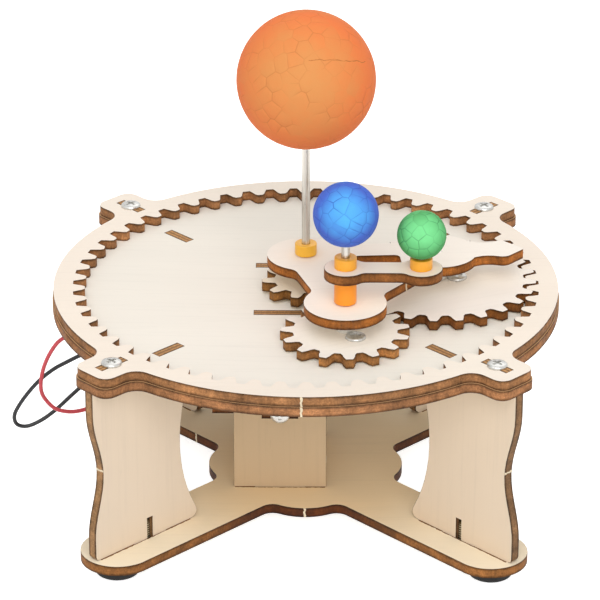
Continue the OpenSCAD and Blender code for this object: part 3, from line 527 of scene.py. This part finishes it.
for sheetName, sheet in plySheets.items():
    wood = plyMaterial("ply" + sheetName[0].upper() + sheetName[1:], sheet)
    for member in sheet["nodes"]:
        dressNode(member, wood, softEdge["wood"])
for finish, members in plainNodes.items():
    for member in members:
        dressNode(member, finishes[finish], softEdge["other"])
print("solids dressed")

# foam balls: pressed beads with cracks between them, and paint with a random tint per bead, made lighter
# toward the front and the back and darker round the sides as painted light
ballLook = {
    "sun_ball": {"piece": "sunBall", "body": "sun", "slot": "sun_paint", "bead": 0.0046, "seed": 3,
                 "light": "d98f4d", "dark": "ee7c3d", "crack": "b8682f", "crackShare": 0.7,
                 "paintedLightToward": (-0.1, -0.9, 0.35), "paintedLightAndTint": (-0.6, 1.6), "tint": 0.2,
                 "patch": (0.3, 1.2, 0.0),
                 "seam": {"up": (0, 0.43, 0.9), "level": 0.0044, "from": 0.0008, "to": 0.0168,
                          "wobble": 0.0014, "wobbleScale": 330, "width": 0.00022, "widthScale": 900,
                          "share": 0.85}},
    "earth_ball": {"piece": "earthBall", "body": "earth", "slot": "earth_paint", "bead": 0.0037, "seed": 5,
                   "light": "53b2f6", "dark": "4468cf", "crack": "2c57b4", "crackShare": 0.85,
                   "paintedLightToward": (0.04, -0.9, 0.42), "paintedLightAndTint": (-0.95, 1.9), "tint": 0.25,
                   "patch": (0.62, 0.9, 0.12)},
    "moon_ball": {"piece": "moonBall", "body": "earth", "slot": "moon_paint", "bead": 0.0036, "seed": 11,
                  "light": "78dc8e", "dark": "449a52", "crack": "2f7a46", "crackShare": 0.85,
                  "paintedLightToward": (0.05, -0.85, 0.5), "paintedLightAndTint": (-0.4, 1.4), "tint": 0.25,
                  "patch": (0.62, 0.9, 0.12)},
}
foamLook = {"crackWidth": 0.00022, "crackDepth": 0.00012, "step": 0.0008, "shortest": 0.00003,
            "packing": 0.87, "jitter": 0.3, "lump": 0.00006, "lumpScale": 260, "patchScale": 150,
            "innerRing": 0.55, "widest": 0.4, "roughness": 0.8, "cloud": 210, "grain": 2600,
            "relief": 0.0002, "weld": 0.000004}


def addSeam(tree, spot, seam):
    # one longer crack on the front, which wanders a little and thins out
    wobble = addMath(tree, "SUBTRACT", addNoise(tree, spot, seam["wobbleScale"], 3), 0.5)
    wobble = addMath(tree, "MULTIPLY", wobble, seam["wobble"])
    off = addMath(tree, "SUBTRACT", addDot(tree, spot, seam["up"]), seam["level"])
    off = addMath(tree, "ABSOLUTE", addMath(tree, "ADD", off, wobble))
    width = addMath(tree, "MULTIPLY", addNoise(tree, spot, seam["widthScale"], 2), seam["width"])
    line = addMath(tree, "LESS_THAN", off, width)
    aside = addDot(tree, spot, (1, 0, 0))
    for kind, bound in (("GREATER_THAN", seam["from"]), ("LESS_THAN", seam["to"])):
        line = addMath(tree, "MULTIPLY", line, addMath(tree, kind, aside, bound))
    ahead = addMath(tree, "LESS_THAN", addDot(tree, spot, (0, 1, 0)), 0.0)
    return addMath(tree, "MULTIPLY", line, addMath(tree, "MULTIPLY", ahead, seam["share"]))


def ballMaterial(name, look):
    light, dark, crack = (hexColour(look[k]) for k in ("light", "dark", "crack"))
    material, tree, shader = startMaterial(name, light, foamLook["roughness"])
    spot = addPlace(tree)
    paintedLightAndTint = addNode(tree, "ShaderNodeAttribute", attribute_name="paintedLightAndTint").outputs["Fac"]
    crease = addNode(tree, "ShaderNodeAttribute", attribute_name="crease").outputs["Fac"]
    cloud = addMath(tree, "SUBTRACT", addNoise(tree, spot, foamLook["cloud"], 4, 0.6), 0.5)
    cloud = addMath(tree, "MULTIPLY", cloud, 0.5)
    # painted light: the paint runs from the dark colour round the sides to the light colour where the ball
    # faces front and back
    coat = addRamp(tree, addMath(tree, "ADD", paintedLightAndTint, cloud), [(0.0, dark), (1.0, light)])
    shade = addMath(tree, "MULTIPLY", crease, look["crackShare"])
    if "seam" in look:
        shade = addMath(tree, "MAXIMUM", shade, addSeam(tree, spot, look["seam"]))
    tree.links.new(addMix(tree, shade, coat, (*crack, 1)), shader.inputs["Base Color"])
    addBump(tree, shader, addNoise(tree, spot, foamLook["grain"], 3), 0.12, foamLook["relief"])
    return material


# bead middles spread evenly over the ball and shaken a little, each with the corners of its cell
def beadCells(look, radius):
    chance = random.Random(look["seed"])
    count = int(4 * math.pi * radius ** 2 / (foamLook["packing"] * look["bead"] ** 2))
    shape = bmesh.new()
    for i in range(count):
        height = 1 - 2 * (i + 0.5) / count
        turn = i * math.pi * (3 - math.sqrt(5))
        ring = math.sqrt(1 - height * height)
        bead = Vector((ring * math.cos(turn), ring * math.sin(turn), height))
        shake = Vector([chance.uniform(-1, 1) for k in range(3)]) * look["bead"] / radius
        bead += shake * foamLook["jitter"]
        shape.verts.new(bead.normalized())
    bmesh.ops.convex_hull(shape, input=list(shape.verts))
    cells = []
    for vert in shape.verts:
        middle = vert.co.normalized()
        sideA = middle.orthogonal().normalized()
        sideB = middle.cross(sideA)
        corners = []
        for face in vert.link_faces:
            a, b, c = (v.co for v in face.verts[:3])
            corner = (b - a).cross(c - a).normalized()
            corners.append(corner if corner.dot(middle) > 0 else -corner)
        corners.sort(key=lambda k: math.atan2(k.dot(sideB), k.dot(sideA)))
        cells.append((middle, corners, chance.random()))
    shape.free()
    return cells


def makeBall(node, look):
    low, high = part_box(node)
    radius = (high.x - low.x) / 2
    # painted light: the paint is lighter toward these two directions, front and back, a little above the
    # middle
    paintedLightToward = Vector(look["paintedLightToward"]).normalized()
    paintedLightBehind = Vector((-paintedLightToward.x, -paintedLightToward.y, paintedLightToward.z))
    points, faces, creases, paintedLightAndTints, shared = [], [], [], [], {}

    def addPoint(direction, fold, tint):
        lump = foamLook["lump"] * abs(noise.noise(direction * radius * foamLook["lumpScale"]))
        points.append(direction * (radius - lump - foamLook["crackDepth"] * fold))
        creases.append(fold)
        # painted light: lighter where the ball faces the front and where it faces the back, darker round
        # the sides; the random bead tint is added
        facing = max(direction.dot(paintedLightToward), direction.dot(paintedLightBehind))
        paintedLightAndTint = look["paintedLightAndTint"][0] + look["paintedLightAndTint"][1] * facing + look["tint"] * (tint - 0.5)
        paintedLightAndTints.append(max(0.0, min(1.0, paintedLightAndTint)))
        return len(points) - 1

    def rimPoint(direction):
        key = tuple(round(c, 4) for c in direction)
        if key not in shared:
            mean, swing, least = look["patch"]
            spot = direction * radius * foamLook["patchScale"] + Vector((look["seed"], 0, 0))
            patch = mean + swing * noise.noise(spot)
            shared[key] = addPoint(direction, max(least, min(1.0, patch)), 0.5)
        return shared[key]

    for middle, corners, tint in beadCells(look, radius):
        rim = []
        for a, b in zip(corners, corners[1:] + corners[:1]):
            if (b - a).length * radius < foamLook["shortest"]:
                continue
            parts = max(1, round((b - a).length * radius / foamLook["step"]))
            rim += [a.lerp(b, k / parts).normalized() for k in range(parts)]
        rings = [[rimPoint(p) for p in rim]]
        for share in (None, foamLook["innerRing"]):
            ring = []
            for p in rim:
                crack = foamLook["crackWidth"] / radius / max((middle - p).length, 1e-6)
                reach = share or min(foamLook["widest"], crack)
                ring.append(addPoint(p.lerp(middle, reach).normalized(), 0.0, tint))
            rings.append(ring)
        top = addPoint(middle, 0.0, tint)
        for k in range(len(rim)):
            m = (k + 1) % len(rim)
            for near, far in zip(rings, rings[1:]):
                if near[k] != near[m]:
                    faces.append((near[k], near[m], far[m], far[k]))
            faces.append((rings[-1][k], rings[-1][m], top))
    mesh = bpy.data.meshes.new(look["piece"])
    mesh.from_pydata(points, [], faces)
    mesh.attributes.new("crease", "FLOAT", "POINT").data.foreach_set("value", creases)
    mesh.attributes.new("paintedLightAndTint", "FLOAT", "POINT").data.foreach_set("value", paintedLightAndTints)
    shape = bmesh.new()
    shape.from_mesh(mesh)
    bmesh.ops.remove_doubles(shape, verts=list(shape.verts), dist=foamLook["weld"])
    shape.to_mesh(mesh)
    shape.free()
    paint = ballMaterial(look["piece"] + "Paint", look)
    ball = addPiece(look["piece"], mesh, paint, look["body"], [node])
    ball.location = (low + high) / 2
    print(look["piece"], "has", len(mesh.polygons), "faces")


for ballNode, look in ballLook.items():
    makeBall(ballNode, look)

# pale nicks where each sheet was held in its blank until it was broken out
nickLook = {"width": 0.00065, "proud": 0.00014, "sunk": 0.0004, "levels": 6, "seed": 21, "fill": 0.98,
            "spread": (0.65, 1.25), "shift": 0.25, "ragged": (0.4, 1.0), "flank": 0.6, "rimTurn": -90.5,
            "legReach": 0.0817, "legHeight": 0.03495}
legTurns = [45, 135, 225, 315]
upward = (0, 0, 1)
baseMiddle = middleHeight("base_plate")
panelLow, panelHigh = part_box("front_panel")
panelMiddle = (panelLow.y + panelHigh.y) / 2


def rimNick(node, reach):
    turn = nickLook["rimTurn"]
    return polarSpot(reach, turn, middleHeight(node)), polarSpot(1, turn, 0), upward


def legNick(turn):
    spot = polarSpot(nickLook["legReach"], turn, nickLook["legHeight"])
    return spot, polarSpot(1, turn, 0), polarSpot(1, turn + 90, 0)


# each nick has its place, the way it faces and the way through its sheet
nickPlaces = {
    "ringNick": ("frame", [rimNick("ring_gear", 0.07387)]),
    "deckNick": ("frame", [rimNick("deck_plate", 0.07417)]),
    "baseNicks": ("frame", [((0, -0.0289, baseMiddle), (0, -1, 0), upward),
                            ((-0.03337, 0.01797, baseMiddle), (-1, -1, 0), upward)]),
    "legNicks": ("frame", [legNick(turn) for turn in legTurns]),
    "panelNick": ("frame", [((panelHigh.x, panelMiddle, 0.0156), (1, 0, 0), (0, 1, 0))]),
    "bridgeNick": ("carrier", [((0.02904, -0.01844, middleHeight("bridge")),
                                (0.7906, -0.6123, 0), upward)]),
}


def makeNicks(name, body, spots):
    chance = random.Random(nickLook["seed"] + len(name))
    sunk, levels, flank = nickLook["sunk"], nickLook["levels"], nickLook["flank"]
    points, faces = [], []
    for spot, outward, across in spots:
        outward, across = Vector(outward).normalized(), Vector(across).normalized()
        along = outward.cross(across)
        start = len(points)
        for k in range(levels):
            depth = (k / (levels - 1) - 0.5) * plyLook["thickness"] * nickLook["fill"]
            half = nickLook["width"] / 2 * chance.uniform(*nickLook["spread"])
            shift = nickLook["width"] * chance.uniform(-nickLook["shift"], nickLook["shift"])
            proud = nickLook["proud"] * chance.uniform(*nickLook["ragged"])
            row = Vector(spot) + across * depth
            low = proud * flank
            for side, rise in ((-1, -sunk), (-1, low), (0, proud), (1, low), (1, -sunk)):
                points.append(row + outward * rise + along * (side * half + shift))
        for k in range(levels - 1):
            for j in range(5):
                a, b = start + k * 5 + j, start + k * 5 + (j + 1) % 5
                faces.append((a, a + 5, b + 5, b))
        last = start + (levels - 1) * 5
        faces.append(tuple(start + j for j in range(5)))
        faces.append(tuple(last + j for j in range(4, -1, -1)))
    mesh = bpy.data.meshes.new(name)
    mesh.from_pydata(points, [], faces)
    addPiece(name, mesh, finishes["bareFibre"], body, smooth=False)


for nickName, (nickBody, nickSpots) in nickPlaces.items():
    makeNicks(nickName, nickBody, nickSpots)
print("sheet nicks made")

# rubber feet: turned profile with a rounded tread and a hollow in the middle
footLook = {"radius": 0.0065, "round": 0.001, "hollow": 0.0024, "hollowDeep": 0.0009, "slope": 0.0004,
            "lip": 0.0003, "fine": 0.0002, "sides": 40}


def footProfile(look, height):
    r, rnd, hollow, deep = look["radius"], look["round"], look["hollow"], look["hollowDeep"]
    profile = [(0, deep), (hollow - look["slope"], deep), (hollow, look["fine"]),
               (hollow + look["lip"], 0)]
    for a in (0, 0.4, 0.8, 1.2, math.pi / 2):
        profile.append((r - rnd + rnd * math.sin(a), rnd - rnd * math.cos(a)))
    return profile + [(r, height - look["lip"]), (r - look["fine"], height), (0, height)]


def makeFeet(look):
    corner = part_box("foot_pads")[1]
    reach = (corner.x - look["radius"]) * math.sqrt(2)
    profile, sides = footProfile(look, corner.z), look["sides"]
    rows = len(profile) - 2
    points, faces = [], []
    for turn in legTurns:
        centre = Vector(polarSpot(reach, turn, 0))
        start = len(points)
        for radius, height in profile[1:-1]:
            points += [centre + Vector(polarSpot(radius, 360 * k / sides, height)) for k in range(sides)]
        low, high = len(points), len(points) + 1
        points += [centre + Vector((0, 0, profile[0][1])), centre + Vector((0, 0, profile[-1][1]))]
        for k in range(sides):
            m = (k + 1) % sides
            faces.append((low, start + m, start + k))
            for row in range(rows - 1):
                a, b = start + row * sides, start + (row + 1) * sides
                faces.append((a + k, a + m, b + m, b + k))
            top = start + (rows - 1) * sides
            faces.append((high, top + k, top + m))
    mesh = bpy.data.meshes.new("rubberFeet")
    mesh.from_pydata(points, [], faces)
    addPiece("rubberFeet", mesh, finishes["rubberFoot"], "frame", ["foot_pads"])


makeFeet(footLook)
print("rubber feet made")

# threads on the screws that show in the slots of legs and shelf
# painted highlight: the threads are a paler copy of the screws' metal
threadLook = {"shank": 0.00095, "crest": 0.00104, "root": 0.00085, "pitch": 0.0007, "half": 0.0002,
              "length": 0.0078, "steps": 14, "taper": 8, "sunk": 0.0002, "baseReach": 0.06437}


def threadPlaces(look):
    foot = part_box("base_plate")[0].z + look["sunk"]
    places = [(polarSpot(look["baseReach"], turn, foot), upward) for turn in legTurns]
    for panel, inward in (("front_panel", 1), ("back_panel", -1)):
        low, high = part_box(panel)
        face = low.y if inward > 0 else high.y
        spot = ((low.x + high.x) / 2, face + inward * look["sunk"], middleHeight("panel_screws"))
        places.append((spot, (0, inward, 0)))
    return places


def makeThreads(look):
    points, faces = [], []
    count = int(look["length"] / look["pitch"] * look["steps"])
    for spot, axis in threadPlaces(look):
        axis = Vector(axis)
        sideA = axis.orthogonal().normalized()
        sideB = axis.cross(sideA)
        rise = axis * look["half"]
        start = len(points)
        for k in range(count + 1):
            a = 2 * math.pi * k / look["steps"]
            out = sideA * math.cos(a) + sideB * math.sin(a)
            base = Vector(spot) + axis * (look["length"] * k / count)
            taper = min(1.0, look["taper"] * k / count, look["taper"] * (count - k) / count)
            crest = look["shank"] + (look["crest"] - look["shank"]) * taper
            root = out * look["root"]
            points += [base - rise + root, base + out * crest, base + rise + root]
        for k in range(count):
            a, b = start + 3 * k, start + 3 * k + 3
            faces += [(b, b + 1, a + 1, a), (b + 1, b + 2, a + 2, a + 1), (b + 2, b, a, a + 2)]
        last = start + 3 * count
        faces += [(start, start + 1, start + 2), (last + 2, last + 1, last)]
    mesh = bpy.data.meshes.new("screwThreads")
    mesh.from_pydata(points, [], faces)
    addPiece("screwThreads", mesh, finishes["paintedHighlightThread"], "frame")


makeThreads(threadLook)
print("screw threads made")

# motor: parting bead round the gearbox, and solder on the two tags
gearboxBead = {"share": 0.55, "rise": 0.00022, "half": 0.00035, "flat": 0.4, "sunk": 0.0003,
               "frontRound": 0.00825, "backRound": 0.0015, "steps": 8}
solderLook = {"radius": 0.00105, "beyond": 0.0002, "inset": 0.0004, "detail": 3, "long": 1.35,
              "tall": 1.1, "swell": 0.25}


def gearboxOutline(look):
    low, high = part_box("motor_gearbox")
    corners = [(high.x, low.y, look["frontRound"], -90), (high.x, high.y, look["frontRound"], 0),
               (low.x, high.y, look["backRound"], 90), (low.x, low.y, look["backRound"], 180)]
    loop = []
    for x, y, r, turn in corners:
        centre = Vector((x - math.copysign(r, x), y - math.copysign(r, y), 0))
        for k in range(look["steps"] + 1):
            out = Vector(polarSpot(1, turn + 90 * k / look["steps"], 0))
            loop.append((centre + out * r, out))
    return loop


def makeGearboxBead(look):
    loop = gearboxOutline(look)
    low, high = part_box("motor_gearbox")
    height = low.z + (high.z - low.z) * look["share"]
    half, flat, rise, sunk = look["half"], look["half"] * look["flat"], look["rise"], look["sunk"]
    section = [(-sunk, -half), (rise, -flat), (rise, flat), (-sunk, half)]
    points = []
    for spot, out in loop:
        points += [spot + out * beyond + Vector((0, 0, height + level)) for beyond, level in section]
    faces = []
    for k in range(len(loop)):
        a, b = 4 * k, 4 * ((k + 1) % len(loop))
        faces += [(a + j, b + j, b + (j + 1) % 4, a + (j + 1) % 4) for j in range(4)]
    mesh = bpy.data.meshes.new("gearboxBead")
    mesh.from_pydata(points, [], faces)
    addPiece("gearboxBead", mesh, finishes["gearboxYellow"], "frame", smooth=False)


def makeSolder(look):
    mesh = bpy.data.meshes.new("solderBlobs")
    shape = bmesh.new()
    low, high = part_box("motor_terminals")
    for y in (low.y + look["inset"], high.y - look["inset"]):
        spot = Vector((low.x - look["beyond"], y, middleHeight("motor_terminals")))
        made = bmesh.ops.create_icosphere(shape, subdivisions=look["detail"], radius=look["radius"])
        for vert in made["verts"]:
            swell = 1 + look["swell"] * noise.noise(vert.co * 900 + spot * 300)
            drop = Vector((vert.co.x * look["long"], vert.co.y, vert.co.z * look["tall"]))
            vert.co = drop * swell + spot
    shape.to_mesh(mesh)
    shape.free()
    addPiece("solderBlobs", mesh, finishes["solderGrey"], "frame")


makeGearboxBead(gearboxBead)
makeSolder(solderLook)
print("motor details made")

# battery box: grip ridges on the lid and ribs on its long sides, apart from where the switch is
ridgeLook = {
    "lid": {"count": 7, "pitch": 0.0022, "x": 0.018, "length": 0.014, "width": 0.0009, "rise": 0.0005,
            "sunk": 0.0002},
    "rib": {"count": 9, "pitch": 0.006, "width": 0.0012, "rise": 0.0004, "sunk": 0.0003, "fromLow": 0.001,
            "fromHigh": 0.0008, "clear": 0.006},
    "chamfer": 0.0002,
}


def addBar(points, faces, low, high, chamfer, outAxis, upper=False):
    # a bar whose lower or upper face along outAxis is narrower than its foot
    start = len(points)
    for corner in range(8):
        place = Vector([(high if corner >> axis & 1 else low)[axis] for axis in range(3)])
        if bool(corner >> outAxis & 1) == upper:
            for axis in range(3):
                if axis != outAxis:
                    place[axis] += -chamfer if corner >> axis & 1 else chamfer
        points.append(place)
    for quad in ((0, 2, 3, 1), (4, 5, 7, 6), (0, 1, 5, 4), (2, 6, 7, 3), (0, 4, 6, 2), (1, 3, 7, 5)):
        faces.append(tuple(start + k for k in quad))


def rowPlace(row, k):
    return (k - (row["count"] - 1) / 2) * row["pitch"]


def makeBoxRidges(look):
    low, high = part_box("battery_box")
    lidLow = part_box("battery_lid")[0]
    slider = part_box("switch_slider")
    middle = (low.y + high.y) / 2
    lid, rib, chamfer = look["lid"], look["rib"], look["chamfer"]
    points, faces = [], []
    for k in range(lid["count"]):
        x = lid["x"] + rowPlace(lid, k)
        near = Vector((x - lid["width"] / 2, middle - lid["length"] / 2, lidLow.z - lid["rise"]))
        far = Vector((x + lid["width"] / 2, middle + lid["length"] / 2, lidLow.z + lid["sunk"]))
        addBar(points, faces, near, far, chamfer, 2)
    across = Vector((0, high.y - low.y + rib["rise"] - rib["sunk"], 0))  # from the inner side to the outer
    for k in range(rib["count"]):
        x = rowPlace(rib, k)
        near = Vector((x - rib["width"] / 2, low.y - rib["rise"], low.z + rib["fromLow"]))
        far = Vector((x + rib["width"] / 2, low.y + rib["sunk"], high.z - rib["fromHigh"]))
        addBar(points, faces, near, far, chamfer, 1)
        if x < slider[0].x - rib["clear"] or x > slider[1].x + rib["clear"]:
            addBar(points, faces, near + across, far + across, chamfer, 1, True)
    mesh = bpy.data.meshes.new("boxRidges")
    mesh.from_pydata(points, [], faces)
    addPiece("boxRidges", mesh, finishes["boxBlack"], "frame", smooth=False)


makeBoxRidges(ridgeLook)
print("battery box details made")

# floor, backdrop and soft studio light
stageLook = {"floor": (0.8, 0.8, 0.8), "roughness": 0.8, "floorGlow": 0.8, "world": 0.52, "half": 6,
             "drop": 0.0002}


def addBackdropGlow(tree):
    path = addNode(tree, "ShaderNodeLightPath")
    seen = addMath(tree, "MAXIMUM", path.outputs["Is Camera Ray"], path.outputs["Is Glossy Ray"])
    return addMath(tree, "MAXIMUM", seen, path.outputs["Is Transmission Ray"])


def makeFloor(look):
    mesh = bpy.data.meshes.new("studioFloor")
    half = look["half"]
    corners = [(-half, -half, 0), (half, -half, 0), (half, half, 0), (-half, half, 0)]
    mesh.from_pydata(corners, [], [(0, 1, 2, 3)])
    floor = bpy.data.objects.new("studioFloor", mesh)
    scene.collection.objects.link(floor)
    floor.location.z = -look["drop"]
    material, tree, shader = startMaterial("paleFloor", look["floor"], look["roughness"])
    shader.inputs["Emission Color"].default_value = (1, 1, 1, 1)
    glow = addMath(tree, "MULTIPLY", addBackdropGlow(tree), look["floorGlow"])
    tree.links.new(glow, shader.inputs["Emission Strength"])
    mesh.materials.append(material)


def makeWorld(look):
    world = bpy.data.worlds.new("studioWorld")
    scene.world = world
    world.use_nodes = True
    tree = world.node_tree
    sky = tree.nodes["Background"]
    strength = addNode(tree, "ShaderNodeMapRange", {0: addBackdropGlow(tree), 3: look["world"], 4: 1.0})
    sky.inputs["Color"].default_value = (1, 1, 1, 1)
    tree.links.new(strength.outputs[0], sky.inputs["Strength"])


lampAim = (0, 0, 0.06)
lampLook = {
    "topLamp": {"place": (-0.35, -0.5, 1.8), "size": 1.8, "watts": 9},
    "frontLamp": {"place": (0.15, -1.45, 1.15), "size": 1.2, "watts": 17},
    "backLamp": {"place": (0.3, 1.4, 1.3), "size": 1.0, "watts": 3},
}


def makeLamp(name, look):
    data = bpy.data.lights.new(name, "AREA")
    data.size = look["size"]
    data.energy = look["watts"]
    lamp = bpy.data.objects.new(name, data)
    scene.collection.objects.link(lamp)
    lamp.matrix_world = aimedAt(look["place"], lampAim)


makeFloor(stageLook)
makeWorld(stageLook)
for lampName, look in lampLook.items():
    makeLamp(lampName, look)
print("stage and lamps set")
